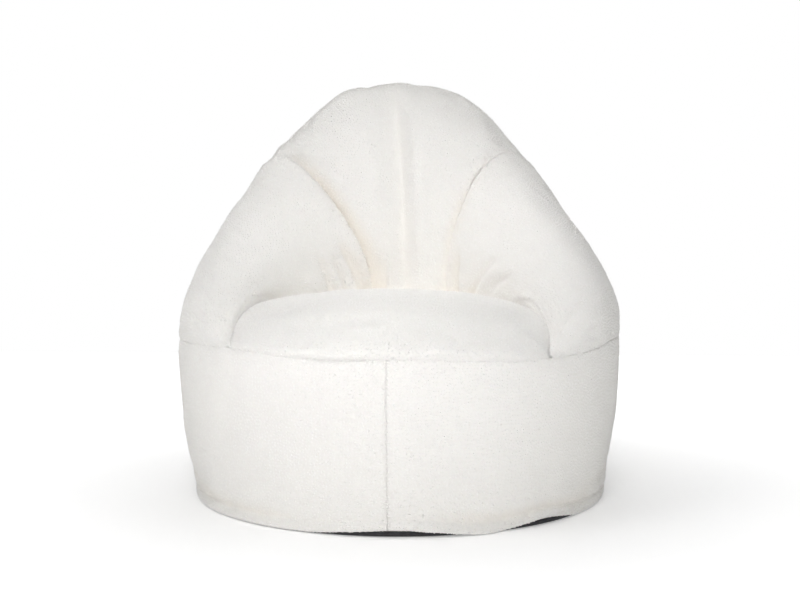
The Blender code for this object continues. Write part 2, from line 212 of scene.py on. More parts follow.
BACK_ROWS = (
    # station, crease (x, y, z), rim (x, y, z), foot, lean, crest, shoulder, belly
    (-7, (-0.286, -0.334, 0.321), (-0.286, -0.334, 0.321), -138.5, 0, 0.001, 0.001, 0),
    (-6, (-0.29, -0.246, 0.357), (-0.354, -0.226, 0.394), -121, 0.002, 0.03, 0.036, 0.01),
    (-5, (-0.274, -0.148, 0.38), (-0.351, -0.112, 0.458), -104, 0.01, 0.054, 0.056, 0.016),
    (-4, (-0.236, -0.05, 0.384), (-0.329, -0.006, 0.532), -86, 0.022, 0.068, 0.07, 0.022),
    (-3, (-0.156, 0.046, 0.382), (-0.298, 0.084, 0.606), -67, 0.032, 0.08, 0.076, 0.024),
    (-2, (-0.063, 0.11, 0.376), (-0.262, 0.16, 0.672), -48, 0, 0.064, 0.1, 0.026),
    (-1, (-0.029, 0.124, 0.374), (-0.152, 0.228, 0.796), -26, 0.022, 0.094, 0.09, 0.04),
    (0, (0, 0.128, 0.374), (0, 0.252, 0.835), 0, 0.024, 0.104, 0.11, 0.05),
    (1, (0.044, 0.124, 0.374), (0.136, 0.224, 0.794), 26, 0.022, 0.094, 0.09, 0.04),
    (2, (0.088, 0.112, 0.375), (0.222, 0.16, 0.684), 47, 0.02, 0.104, 0.1, 0.026),
    (3, (0.162, 0.046, 0.377), (0.275, 0.084, 0.606), 67, 0.032, 0.08, 0.076, 0.024),
    (4, (0.231, -0.05, 0.376), (0.318, -0.006, 0.53), 86, 0.022, 0.066, 0.07, 0.022),
    (5, (0.264, -0.148, 0.37), (0.35, -0.112, 0.452), 104, 0.01, 0.054, 0.056, 0.016),
    (6, (0.284, -0.246, 0.347), (0.35, -0.226, 0.386), 121, 0.002, 0.03, 0.036, 0.01),
    (7, (0.283, -0.338, 0.307), (0.283, -0.338, 0.307), 139.3, 0, 0.001, 0.001, 0),
)
WALL_ROWS = (
    # height share, radius share
    (0, 0.926), (0.06, 0.934), (0.16, 0.947), (0.3, 0.963), (0.44, 0.978),
    (0.58, 0.989), (0.72, 0.998), (0.85, 1), (0.94, 0.996), (1, 0.989),
)
SEAM_ROWS = (
    # turn in degrees, seam height, hem height
    (-180, 0.3135, 0.0115), (-170, 0.31, 0.006), (-158, 0.3125, 0.003),
    (-138, 0.321, 0.003), (-115, 0.316, 0.003), (-90, 0.311, 0.004),
    (-45, 0.306, 0.006), (0, 0.305, 0.007), (45, 0.307, 0.006),
    (90, 0.318, 0.005), (112, 0.321, 0.003), (124, 0.312, 0.0035),
    (136, 0.3075, 0.011), (144, 0.3053, 0.0055), (152, 0.3062, 0.003),
    (161, 0.309, 0.0045), (170, 0.3125, 0.01), (180, 0.3135, 0.0115),
)
print(len(BACK_ROWS), "sections,", len(SEAM_ROWS), "places round the drum")

# %% [markdown]
# Soft folds give the cover its character. Each is a trough or a ridge along a short path: troughs
# have a depth below 0. The deep ones gather the cloth where the back meets the seat, and the left
# wing laps over the middle panel along its seam.

# %% Folds
BACK_FOLDS = (
    # name, station from, height from, station to, height to, half width, depth
    ("left_crease", -2.05, 0, -2, 0.95, 0.022, -0.006),
    ("left_gather", -0.95, 0, -1.3, 0.72, 0.024, -0.003),
    ("middle_swell", 0.9, 0, 0.55, 0.9, 0.06, 0.01),
    ("crest_dip", 0.15, 0.72, 0.2, 1.35, 0.024, -0.005),
    ("crest_swell", -0.8, 0.72, -0.7, 1.35, 0.045, 0.006),
    ("crest_fall", 1.15, 0.7, 1.1, 1.5, 0.045, -0.004),
    ("left_flank", -4.6, 0.75, -4.6, 2, 0.16, -0.006),
    ("right_flank", 3.4, 0.75, 3.6, 2, 0.15, -0.008),
    ("right_crease", 1.9, 0, 1.98, 0.8, 0.034, -0.007),
    ("left_pucker_inner", -2.2, 0, -2.48, 0.4, 0.013, -0.017),
    ("left_pucker_high", -2.52, 0, -2.8, 0.34, 0.009, -0.01),
    ("left_pucker_low", -2.8, 0, -3.15, 0.38, 0.012, -0.015),
    ("right_pucker_inner", 2.3, 0, 2.36, 0.34, 0.012, -0.011),
    ("right_pucker_high", 2.62, 0, 3.55, 0.4, 0.013, -0.014),
    ("right_pucker_low", 3.05, 0, 3.9, 0.3, 0.013, -0.009),
)
WALL_FOLDS = (
    # name, turn and height from, turn and height to, half width, depth: shares of height and reach
    ("right_hem_trough", 174, 0.085, 104, 0.075, 0.04, -0.015),
    ("right_hem_swell", 176, 0, 148, 0, 0.05, 0.022),
    ("left_hem_trough", -100, 0.09, -160, 0.075, 0.04, -0.013),
    ("left_low_fold", -96, 0.2, -128, 0.1, 0.04, -0.01),
    ("right_low_fold", 132, 0.13, 92, 0.21, 0.045, -0.008),
    ("left_band_swell", -60, 0.45, -118, 0.42, 0.18, 0.004),
)
print(len(BACK_FOLDS), "folds in the back,", len(WALL_FOLDS), "in the band")

# %% [markdown]
# ## Curves
#
# A cubic spline through every row is enough for all the columns: it needs no handles, and a
# change to one row stays near that row.

# %% Curves
def spline(stations, values, at):
    """A smooth curve through the values at the stations, at one place or many."""
    stations, values = np.asarray(stations, float), np.asarray(values, float)
    at = np.asarray(at, float)
    slopes = np.empty_like(values)
    spans = np.diff(stations).reshape(-1, *[1] * (values.ndim - 1))
    slopes[[0, -1]] = (np.diff(values, axis=0) / spans)[[0, -1]]
    wide = (stations[2:] - stations[:-2]).reshape(spans[1:].shape)
    slopes[1:-1] = (values[2:] - values[:-2]) / wide
    k = np.clip(np.searchsorted(stations, at, side="right") - 1, 0, len(stations) - 2)
    span = stations[k + 1] - stations[k]
    t = (at - stations[k]) / span
    shape = at.shape + (1,) * (values.ndim - 1)
    t, span = t.reshape(shape), span.reshape(shape)
    return (
        (2 * t**3 - 3 * t**2 + 1) * values[k]
        + (t**3 - 2 * t**2 + t) * slopes[k] * span
        + (3 * t**2 - 2 * t**3) * values[k + 1]
        + (t**3 - t**2) * slopes[k + 1] * span
    )


def through(rows, column, at):
    """A smooth curve through one column of a table whose first column says where each row is."""
    return spline([row[0] for row in rows], [row[column] for row in rows], at)


def bezier(a, b, c, d, t):
    s = 1 - t
    return s**3 * a + 3 * s * s * t * b + 3 * s * t * t * c + t**3 * d


def smooth(t):
    t = np.clip(t, 0, 1)
    return t * t * (3 - 2 * t)


def outline(turn, share, height=0.0):
    """The drum's plan at a turn from the rear, at shares of its reach and of its height."""
    a = np.radians(turn)
    reach = share * (1 + SQUARENESS * height * np.sin(2 * a) ** 2)
    return np.stack([reach * HALF_WIDTH * np.sin(a), reach * HALF_DEPTH * np.cos(a)], axis=-1)


def round_value(column, turn):
    turn = (np.asarray(turn, float) + 180) % 360 - 180
    return through(SEAM_ROWS, column, turn)


def raised(plan, level):
    """Points over a plan, all at one level or each at its own."""
    return np.concatenate([plan, np.broadcast_to(level, len(plan))[:, None]], axis=1)


def seam_points(turns):
    """Where the band's top edge is sewn to what stands on it."""
    return raised(outline(turns, WALL_ROWS[-1][1], 1.0), round_value(1, turns))


def drum_top(x, y):
    """The level of the drum's hidden top."""
    turn = np.degrees(np.arctan2(x, y))
    share = np.hypot(x, y) / np.linalg.norm(outline(turn, WALL_ROWS[-1][1], 1.0), axis=-1)
    return DRUM_TOP + (round_value(1, turn) - DRUM_TOP) * smooth((share - 0.6) / 0.4)


print("the front seam runs", round(1000 * float(round_value(1, 180))), "mm above the floor")

# %% [markdown]
# ## The back's cloth
#
# Each section is two cubic curves: up the inner face to the rim, then down the outer face to the
# foot. The sections stand closer together beside the two seams, so that the cloth can turn in
# sharply there.

# %% Sections of the back
CLOTH_STEP = 0.0068  # how far apart the points of the cloth are
SEAM_CLOSER, SEAM_NEAR = 1.6, 0.16  # how much closer beside a seam, and within how many stations
INNER_STEPS = 70
OUTER_STEPS = 62
INNER_RISE, RIM_DIP, OUTER_DROP = 0.42, 0.02, 0.46  # the reach of the curves' handles, in heights


def back_grid(places):
    """The back's smooth surface: one row of points for each place."""
    columns = [through(BACK_ROWS, c, places) for c in range(1, 8)]
    crease, rim, foot_turn, lean, crest, shoulder, belly = columns
    foot = seam_points(foot_turn)
    across = (foot - crease) * (1, 1, 0)
    across /= np.maximum(np.linalg.norm(across, axis=1, keepdims=True), 1e-9)
    rise = (rim[:, 2] - crease[:, 2])[:, None] * (0, 0, 1)
    drop = (rim[:, 2] - foot[:, 2])[:, None] * (0, 0, 1)
    lean, crest, shoulder, belly = (across * v[:, None] for v in (lean, crest, shoulder, belly))
    inner = [
        bezier(crease, crease + INNER_RISE * rise - lean, rim - crest - RIM_DIP * rise, rim, t)
        for t in np.linspace(0, 1, INNER_STEPS + 1)
    ]
    outer = [
        bezier(rim, rim + shoulder, foot + OUTER_DROP * drop + belly, foot, t)
        for t in np.linspace(0, 1, OUTER_STEPS + 1)[1:]
    ]
    return np.stack(inner + outer, axis=1)


def back_places():
    """Sections about one cloth step apart along the rim, and closer beside the seams."""
    fine = np.linspace(-7, 7, 2801)
    rim = through(BACK_ROWS, 2, fine)
    speed = np.linalg.norm(np.gradient(rim, fine, axis=0), axis=1) / CLOTH_STEP
    for seam in SEAM_STATIONS:
        speed *= 1 + SEAM_CLOSER * np.exp(-(((fine - seam) / SEAM_NEAR) ** 2))
    along = np.concatenate([[0], np.cumsum((speed[1:] + speed[:-1]) / 2 * np.diff(fine))])
    places = [-7.0]
    for a, b in zip((-7, *SEAM_STATIONS), (*SEAM_STATIONS, 7), strict=True):
        start, end = np.interp([a, b], fine, along)
        count = int(round(end - start))
        places += list(np.interp(np.linspace(start, end, count + 1)[1:], along, fine))
    places = np.array(places)
    for seam in SEAM_STATIONS:
        places[np.argmin(abs(places - seam))] = seam
    return places


HEIGHTS = np.concatenate(
    [np.linspace(0, 1, INNER_STEPS + 1), np.linspace(1, 2, OUTER_STEPS + 1)[1:]]
)
places = back_places()
back = back_grid(places)
print("back:", back.shape[0], "sections of", back.shape[1], "points")


# %% [markdown]
# The folds push the surface along its own outward direction, so a fold on the rim stands up and
# one on the inner face stands towards the sitter. They are only measured here, and are added once
# the cloth is blown up, because the pressure would press them flat. A fold fades in over its first
# third, or in a short step if it starts in the crease, and fades out before its end and the foot.

# %% Folds of the back
FADE_IN, FADE_IN_CREASE, FADE_OUT, FADE_FOOT = 0.35, 0.04, 0.45, 0.2


def normals_of(grid):
    found = np.cross(np.gradient(grid, axis=0), np.gradient(grid, axis=1))
    return found / np.maximum(np.linalg.norm(found, axis=2, keepdims=True), 1e-12)


back_step = np.linalg.norm(np.gradient(back, places, axis=0), axis=2)
back_normals = normals_of(back)
# The rows at the two tips are pinched, so they take their normals from beside them.
back_normals[:4], back_normals[-4:] = back_normals[4], back_normals[-5]
push = np.zeros(back.shape[:2])
for _, s0, h0, s1, h1, half_width, depth in BACK_FOLDS:
    t = (HEIGHTS - h0) / (h1 - h0)
    start = smooth(t / FADE_IN) if h0 > 0 else smooth(HEIGHTS / FADE_IN_CREASE)
    fade = smooth((1 - t) / FADE_OUT) * start * smooth((2 - HEIGHTS) / FADE_FOOT)
    fade = np.where((t >= 0) & (t <= 1), fade, 0)
    away = (places[:, None] - (s0 + (s1 - s0) * t)[None, :]) * back_step / half_width
    push += depth * fade * np.exp(-away * away)
print("the folds push", round(1000 * push.min()), "to", round(1000 * push.max()), "mm")

# %% [markdown]
# ## The drum's band and the seat
#
# The band leans out from a narrow hem to its widest line, then turns in to the top seam. The seat
# is a crown over the drum: rings that shrink from its sewn edge to its middle while they rise.

# %% Band
WALL_HEIGHTS = np.concatenate(
    [np.linspace(0, 0.1, 13)[:-1], np.linspace(0.1, 0.96, 33)[:-1], np.linspace(0.96, 1, 5)]
)


def wall_fold(turns, height):
    push = np.zeros_like(turns)
    for _, turn0, height0, turn1, height1, half_width, depth in WALL_FOLDS:
        along = ((turns - turn0 + 180) % 360 - 180) / (turn1 - turn0)
        away = (height - height0 - (height1 - height0) * along) / half_width
        ends = smooth(np.minimum(along, 1 - along) / 0.25)
        push += np.where((along > 0) & (along < 1), depth * ends * np.exp(-away * away), 0)
    return push


def wall_grid(turns):
    """The band's surface: one column for each turn, from the hem up to the top seam."""
    low, high = round_value(2, turns), round_value(1, turns)
    rows = []
    for height in WALL_HEIGHTS:
        share = through(WALL_ROWS, 1, height) + wall_fold(turns, height)
        rows.append(raised(outline(turns, share, height), low + (high - low) * height))
    return np.stack(rows, axis=1)


BAND_COLUMNS = 210
band_turns = {side: np.linspace(0, 180, BAND_COLUMNS + 1) * side for side in (1, -1)}
bands = {side: wall_grid(turns) for side, turns in band_turns.items()}
print("band: 2 x", BAND_COLUMNS, "columns")

# %% Seat
SEAT_RINGS = 1 - np.linspace(1, 0, 36) ** 1.12
CROWN_FLATNESS = 2.6
CROWN_FRONT, CROWN_REAR = 0.62, 0.33  # the front edge turns down roundly, and the rest more gently
crease_line = back[:, 0].copy()
front_turns = np.linspace(BACK_ROWS[-1][3], 360 + BACK_ROWS[0][3], 92)
seat_edge = np.concatenate([crease_line, seam_points(front_turns)[1:-1]])


def seat_grid(edge):
    """The seat's crown: rings of points from its middle out to its edge."""
    away = edge[:, :2] - SEAT_CENTRE
    facing_front = -away[:, 1] / np.linalg.norm(away, axis=1)
    gentle = CROWN_FRONT + CROWN_REAR * smooth((1 - facing_front) / 0.8)
    rings = []
    for share in SEAT_RINGS:
        crown = (1 - share**CROWN_FLATNESS) ** gentle
        level = edge[:, 2] + (SEAT_TOP - edge[:, 2]) * crown
        rings.append(raised(SEAT_CENTRE + away * share, level))
    return np.array(rings)


seat = seat_grid(seat_edge)
print("seat:", seat.shape[0], "rings of", seat.shape[1], "points")

# %% [markdown]
# ## Blowing the panels up
#
# Foam crumbs press on the cover from the inside. Each panel is made a real cloth for twenty frames:
# its sewn edges are held, a steady pressure pushes outwards, and the cloth is cut a little larger
# than its place, so the spare length gathers in small soft waves beside the seams. A cap on how far
# any point may move keeps the chair its own size, and most of the slow swell is taken off again,
# because the sections were already drawn on a stuffed chair.

# %% Cloth simulation
FRAMES = 20
PRESSURE = 1.0
SLACK, SEAT_SLACK, BAND_SLACK = 0.009, 0.005, 0.0  # how much larger the cloth is cut, as a share
MOST_MOVE = 0.012
SLOW_REACH = 12  # cells of the grid over which a swell is told from a wrinkle
SWELL_KEPT = 0.2
CLOTH = dict(
    quality=6, mass=0.3, air_damping=3, shear_stiffness=8, bending_stiffness=1.0,
    tension_stiffness=20, compression_stiffness=20,
    tension_damping=8, compression_damping=8, shear_damping=8,
    use_pressure=True, uniform_pressure_force=PRESSURE,
    vertex_group_mass="held", pin_stiffness=1,
)


def slow_part(shift, ring):
    """The shift averaged over a hand's width along both ways of the grid."""
    window = np.hanning(2 * SLOW_REACH + 3)[1:-1]
    window /= window.sum()
    for axis in (0, 1):
        way = "wrap" if ring and axis == 1 else "edge"
        edge = [(SLOW_REACH, SLOW_REACH) if a == axis else (0, 0) for a in range(3)]
        wider = np.pad(shift, edge, mode=way)
        shift = np.apply_along_axis(np.convolve, axis, wider, window, mode="valid")
    return shift


def coordinates(mesh):
    flat = np.empty(len(mesh.vertices) * 3, np.float32)
    mesh.vertices.foreach_get("co", flat)
    return flat.reshape(-1, 3)


def inflated(name, grid, outwards, held, ring=False, slack=SLACK):
    """The grid after cloth simulation. held is 1 where a point stays and 0 where it's free."""
    mesh, index = mesh_of(name, grid, ring)
    middle = mesh.polygons[len(mesh.polygons) // 2]
    row, column = np.argwhere(index == middle.vertices[0])[0]
    if np.dot(outwards[row, column], middle.normal) < 0:
        mesh.flip_normals()
    body = add_object(name, mesh)
    body.vertex_groups.new(name="held").add(np.unique(index[held > 0]).tolist(), 1.0, "REPLACE")
    cloth = body.modifiers.new("cloth", "CLOTH")
    for setting, value in CLOTH.items():
        setattr(cloth.settings, setting, value)
    cloth.settings.shrink_min = -slack
    cloth.settings.effector_weights.gravity = 0
    cloth.collision_settings.use_collision = False
    cloth.point_cache.frame_start, cloth.point_cache.frame_end = 1, FRAMES
    for frame_number in range(1, FRAMES + 1):
        scene.frame_set(frame_number)
    moved = body.evaluated_get(bpy.context.evaluated_depsgraph_get()).data
    shift = (coordinates(moved) - coordinates(mesh)).astype(float)
    bpy.data.objects.remove(body)
    length = np.linalg.norm(shift, axis=1, keepdims=True)
    capped = MOST_MOVE * np.tanh(length / MOST_MOVE)
    shift *= capped / np.maximum(length, 1e-9)
    shift = shift[index.reshape(-1)].reshape(grid.shape)
    most, swell = 1000 * float(length.max()), 1000 * float((shift * outwards).sum(axis=2).mean())
    print(name, "moved by up to", round(most, 1), "mm, outwards by", round(swell, 1))
    slow = slow_part(shift, ring)
    size, slow_size = (np.linalg.norm(s, axis=2, keepdims=True) for s in (shift, slow))
    taken = np.minimum(1, size / np.maximum(slow_size, 1e-9))
    return grid + shift - (1 - SWELL_KEPT) * slow * taken


# %% [markdown]
# ## Seams
#
# At a seam the cloth of both panels rolls inwards to a line of stitches, so each edge is rounded
# like a quarter of a circle. The stitching also shortens the cloth a little, and the spare length
# beside it stands in small puckers that die away within two fingers' width.

# %% Seam shapes
PUCKER_LENGTH = 0.021
PUCKER_STRETCHES = (0.72, 1.0, 1.45, 2.1)  # four waves of unlike lengths add up to an uneven one
PUCKER_HEIGHT = 0.0013
PUCKER_FADE = 0.024
PUCKER_START = 0.004


def roll(distance, radius):
    """How deep the cloth lies at a distance from a seam, if it turns in over the radius."""
    near = np.clip(1 - distance / radius, 0, 1)
    return radius * (1 - np.sqrt(np.maximum(1 - near * near, 0)))


def puckers(along, distance, seed, height=PUCKER_HEIGHT):
    """Small uneven waves along a seam, strongest a little way from its stitches."""
    luck = np.random.default_rng(seed)
    wave = np.zeros(np.broadcast(along, distance).shape)
    for stretch in PUCKER_STRETCHES:
        phase, lean = luck.uniform(0, 6.28), luck.uniform(-0.5, 0.5)
        wave = wave + np.sin(6.28 * (along + lean * distance) / (PUCKER_LENGTH * stretch) + phase)
    fade = np.exp(-distance / PUCKER_FADE) * smooth(distance / PUCKER_START)
    return height * 0.5 * wave * fade


def profile(pairs, distance, unit=1):
    """A smooth profile through pairs of a distance and a value, the values divided by the unit."""
    distance = np.clip(distance, pairs[0][0], pairs[-1][0])
    return spline([d for d, _ in pairs], [value / unit for _, value in pairs], distance)


def length_along(points, axis):
    steps = np.linalg.norm(np.diff(points, axis=axis), axis=2)
    zero = np.zeros_like(steps.take([0], axis=axis))
    return np.concatenate([zero, np.cumsum(steps, axis=axis)], axis=axis)


# %% [markdown]
# The two long seams, the foot seam and the top of the band all turn in by such a roll. Distances
# are measured along the cloth, so a roll has one width all the way. The left wing stands over the
# middle panel in a soft lap. A long pleat runs up the inner back, a little left of the middle at
# its top. A warmer cream is painted into the folds, the pleat and the crease as painted bounce
# light. Right beside the left seam a brown is painted in: partly the backing that shows between the
# stitches, partly painted shadow under the wing's lapping edge. A little of it is painted shade in
# the deep folds.

# %% Sewn edges of the back
EDGE_ROLL = 0.0008  # the roll at the back's foot and at the top of the band
SEAM_ROLLS = (0.0035, 0.0020)
SEAM_PUCKER, PUCKER_END = 0.0014, 59  # height in metres, and how far out in mm
OUTER_DRAW = 0.003  # the pile stands over the cloth, so the outside of the back is drawn in
SEAM_SHAPES = (
    # how high the cloth lies at a distance from the seam, in mm: the wing's side is below 0
    (
        (-80, 0), (-50, 2), (-28, 6), (-13, 9), (-6, 7), (-2.5, 0), (0, -18), (2.5, -15),
        (10, -11), (20, -5), (30, 2), (40, 6), (52, 7), (64, 4), (80, 0),
    ),
    (
        (-60, 0), (-30, 1), (-12, 2), (-5, 1), (-2, -1), (0, -3), (3, -2), (8, -1),
        (16, 0), (26, 1), (40, 0), (60, 0),
    ),
)
# How far the left wing's edge leans over the middle panel.
LAP = ((-80, 0), (-40, 1), (-24, 3), (-12, 6), (-5, 8), (-2.5, 7), (0, 0), (80, 0))
BOUNCE_SHAPES = (
    # how much painted bounce light, a warmer cream, the cloth takes beside each seam
    ((-14, 0), (-5, 0.35), (0, 1.0), (8, 0.85), (18, 0.7), (28, 0.3), (40, 0), (80, 0)),
    ((-40, 0), (-22, 0), (-8, 0.15), (0, 0.3), (8, 0.2), (22, 0), (60, 0)),
)
# How wide the brown painted beside the left seam is: the backing there and painted shadow.
SEAM_BACKING_SHADE_WIDTH = 2.5  # mm
PLEAT = ((-70, 0), (-48, -5), (-24, -16), (-7, -24), (0, -24), (8, -18), (18, -7), (30, 1), (50, 0))
PLEAT_FROM, PLEAT_TO = 0.15, -0.32  # the pleat's stations at the crease and at the rim
# Widths of the painted bounce light along the pleat and along the crease.
PLEAT_BOUNCE_WIDTH, CREASE_BOUNCE_WIDTH = 12, 0.035  # of their cream: in mm, and in metres up from the crease
# How much painted bounce light the pleat, the crease and the deep folds take, and how much painted
# shade the deep folds take.
PLEAT_BOUNCE, CREASE_BOUNCE, DEEP_FOLD_BOUNCE, DEEP_FOLD_SHADE = 0.1, 0.7, 0.3, 0.14

up_lengths, around = length_along(back, 1), length_along(back, 0)
to_foot = up_lengths[:, -1:] - up_lengths
outside = smooth((HEIGHTS - 0.6) / 0.4) * smooth(to_foot / 0.03)
back_press = -roll(to_foot, EDGE_ROLL) - OUTER_DRAW * outside
back_press += puckers(around[:, -1:], to_foot, 11)
# Painted bounce light in the folds, and the painted brown: backing and painted shadow at the left
# seam, painted shade in deep folds.
painted_bounce_share, bare = np.zeros_like(back_press), np.zeros_like(back_press)
off_crease = smooth(HEIGHTS / 0.035)
for side, seam in enumerate(SEAM_STATIONS):
    across = (places[:, None] - seam) * back_step * (1, -1)[side] * 1000
    near_line = up_lengths[np.argmin(abs(places - seam))]
    strength = off_crease * (0.3 + 0.7 * smooth((1.12 - HEIGHTS) / 0.3))
    back_press += strength * profile(SEAM_SHAPES[side], across, 1000)
    back_press -= roll(abs(across) / 1000, SEAM_ROLLS[side]) * smooth(HEIGHTS / 0.1)
    small = puckers(near_line[None, :], abs(across) / 1000, 20 + side, SEAM_PUCKER)
    back_press += small * (abs(across) < PUCKER_END)
    # Painted bounce light beside each seam.
    painted_bounce_share += profile(BOUNCE_SHAPES[side], across) * smooth((1.0 - HEIGHTS) / 0.45)
    if side == 0:
        # The brown painted right beside the left seam: the backing between the stitches and painted
        # shadow of the wing's lap.
        bare += smooth(1.6 - abs(across) / SEAM_BACKING_SHADE_WIDTH) * smooth((0.95 - HEIGHTS) / 0.3)
        over = profile(LAP, across, 1000) * off_crease * smooth((1 - HEIGHTS) / 0.15)
back_lap = np.gradient(back, axis=0)
back_lap *= (over / np.maximum(np.linalg.norm(back_lap, axis=2), 1e-9))[:, :, None]

pleat_line = PLEAT_FROM + (PLEAT_TO - PLEAT_FROM) * HEIGHTS
pleat_across = (places[:, None] - pleat_line) * back_step * 1000
pleat_strength = smooth(HEIGHTS / 0.05) * smooth((1.05 - HEIGHTS) / 0.55)
back_press += pleat_strength * profile(PLEAT, pleat_across, 1000)
# Painted bounce light along the pleat.
painted_bounce_share += PLEAT_BOUNCE * pleat_strength * np.exp(-((pleat_across / PLEAT_BOUNCE_WIDTH) ** 2))
centre = smooth((3.4 - abs(places[:, None])) / 1.2)
# Painted bounce light along the crease where the back meets the seat.
painted_bounce_share += CREASE_BOUNCE * smooth(1 - up_lengths / CREASE_BOUNCE_WIDTH) * centre
# The deep folds low in the middle take painted bounce light and painted shade.
deep_fold_shading = smooth((-push - 0.002) / 0.012) * smooth((0.7 - HEIGHTS) / 0.3) * centre
painted_bounce_share = np.clip(painted_bounce_share + DEEP_FOLD_BOUNCE * deep_fold_shading, 0, 1)
bare += DEEP_FOLD_SHADE * deep_fold_shading
back_press += push
back_press[:, 0] = 0
print("the seams of the back lie up to", round(-1000 * back_press.min(), 1), "mm deep")

# %% Sewn edges of the band and the seat
HEM_WIDTH = 0.022
HEM_DEPTH = 0.0024
HEM_LINE = 0.004  # half the width of the hem's stitching line, and the roll at its foot
BAND_DRAW = 0.002
UPRIGHT_ROLL = 0.0003
SEAT_ROLL = 0.0012
TOP_PUCKER, UPRIGHT_PUCKER, HEM_PUCKER = 0.0010, 0.0007, 0.0008


def band_press(grid, seed):
    rise, run = length_along(grid, 1), length_along(grid, 0)
    to_top, from_hem = rise[:, -1:] - rise, abs(rise - HEM_WIDTH)
    depth = -roll(to_top, EDGE_ROLL) + puckers(run[:, -1:], to_top, seed, TOP_PUCKER)
    depth -= HEM_DEPTH * np.exp(-((from_hem / HEM_LINE) ** 2)) + roll(rise, HEM_LINE)
    depth += puckers(run[:, :1], from_hem, seed + 2, HEM_PUCKER) * smooth(rise / 0.01)
    for edge_run in (run, run[-1:] - run):
        depth -= roll(edge_run, UPRIGHT_ROLL)
        depth += puckers(rise, edge_run, seed + 1, UPRIGHT_PUCKER)
    return depth


def seat_press(grid):
    run = length_along(grid, 0)
    to_edge = run[-1:] - run
    around_edge = length_along(grid, 1)[-1:]
    front = np.arange(grid.shape[1]) >= len(crease_line)
    return (puckers(around_edge, to_edge, 51, TOP_PUCKER) - roll(to_edge, SEAT_ROLL)) * front


print("hem", round(1000 * HEM_WIDTH), "mm wide")

# %% [markdown]
# ## Soft dents
#
# Foam crumbs never lie quite even. A slow noise, the same all over the chair, raises and lowers the
# cloth by a few millimetres over a hand's width, so that no outline is a perfect curve.

# %% Dents
DENT_DEPTH = 0.004
DENT_WIDTH = 0.11
SMALL_DEPTH, SMALL_WIDTH = 0.4, 0.42  # a small dent beside a large one


def dents(points, still):
    """Slow unevenness at the points, none where still is 1."""
    flat = points.reshape(-1, 3)
    slow = np.array([noise.noise(p) for p in flat / DENT_WIDTH])
    quick = np.array([noise.noise(p) for p in flat / (SMALL_WIDTH * DENT_WIDTH) + 7.0])
    return DENT_DEPTH * (slow + SMALL_DEPTH * quick).reshape(points.shape[:2]) * (1 - still)


def stuffed(name, grid, outwards, held, press, still, **options):
    """The cloth blown up, with its seams pressed in and its dents."""
    cloth = inflated(name, grid, outwards, held, **options)
    return cloth + outwards * (press + dents(grid, still))[:, :, None]


print("dents of about", round(1000 * DENT_DEPTH), "mm")

# %% [markdown]
# ## Closed pieces
#
# Every panel is one closed body, like the filled cushion it is. Behind the cloth it is shut by
# hidden faces on the drum's top and on the planes between neighbours. Three numbers go with each
# point: pile is 1 on the cloth that shows, so that yarn grows only there. The second says how much
# warmer cream is painted in as bounce light in a fold. The third says how much brown is painted in:
# the backing and painted shadow at the left seam, and painted shade in deep folds.

# %% Piece builder
GAP = 0.0003  # between two pieces that meet at a seam


class Piece:
    """Collects grids and caps of one closed piece, joining points that are in the same place."""

    def __init__(self, name):
        self.name, self.index, self.points, self.faces = name, {}, [], []
        # Besides the pile: the painted bounce light in folds, and the painted brown of backing,
        # shadow and shade.
        self.marks = {"pile": {}, "fold": {}, "bare": {}}

    def vertex(self, point):
        key = tuple(int(round(c * 1e6)) for c in point)
        if key not in self.index:
            self.index[key] = len(self.points)
            self.points.append(tuple(point))
        return self.index[key]

    def face(self, corners, shows):
        ids = [self.vertex(p) for p in corners]
        ids = [v for j, v in enumerate(ids) if v != ids[j - 1]]
        if len(set(ids)) >= 3:
            self.faces.append((ids, shows))

    def grid(self, rows, shows, **marks):
        for i in range(len(rows) - 1):
            for k in range(len(rows[i]) - 1):
                self.face([rows[i][k], rows[i][k + 1], rows[i + 1][k + 1], rows[i + 1][k]], shows)
        for mark, table in marks.items():
            for row, values in zip(rows, table, strict=True):
                for point, value in zip(row, values, strict=True):
                    self.marks[mark][self.vertex(point)] = value

    def lace(self, left, right):
        """Closes the gap between two lines that start and end together."""
        i = k = 0
        last, other_last = len(left) - 1, len(right) - 1
        while i < last or k < other_last:
            if i < last and (i + 1) * other_last <= (k + 1) * last:
                self.face([left[i], left[i + 1], right[k]], False)
                i += 1
            else:
                self.face([left[i], right[k + 1], right[k]], False)
                k += 1

    def cap(self, ring):
        for corners in tessellate_polygon([[tuple(p) for p in ring]]):
            self.face([ring[i] for i in corners], False)

    def build(self, material):
        work = bmesh.new()
        verts = [work.verts.new(p) for p in self.points]
        for ids, shows in self.faces:
            made = work.faces.new([verts[i] for i in ids])
            made.smooth = shows
        bmesh.ops.recalc_face_normals(work, faces=work.faces)
        if work.calc_volume(signed=True) < 0:
            bmesh.ops.reverse_faces(work, faces=work.faces)
        mesh = bpy.data.meshes.new(self.name)
        work.to_mesh(mesh)
        open_edges = sum(not edge.is_manifold for edge in work.edges)
        litres = round(1000 * work.calc_volume(signed=True), 2)
        work.free()
        for mark, table in self.marks.items():
            values = np.zeros(len(self.points), np.float32)
            values[list(table)] = list(table.values())
            mesh.attributes.new(mark, "FLOAT", "POINT").data.foreach_set("value", values)
        mesh.materials.append(material)
        print(self.name, len(mesh.polygons), "faces,", open_edges, "open edges,", litres, "litres")
        return add_object(self.name, mesh)


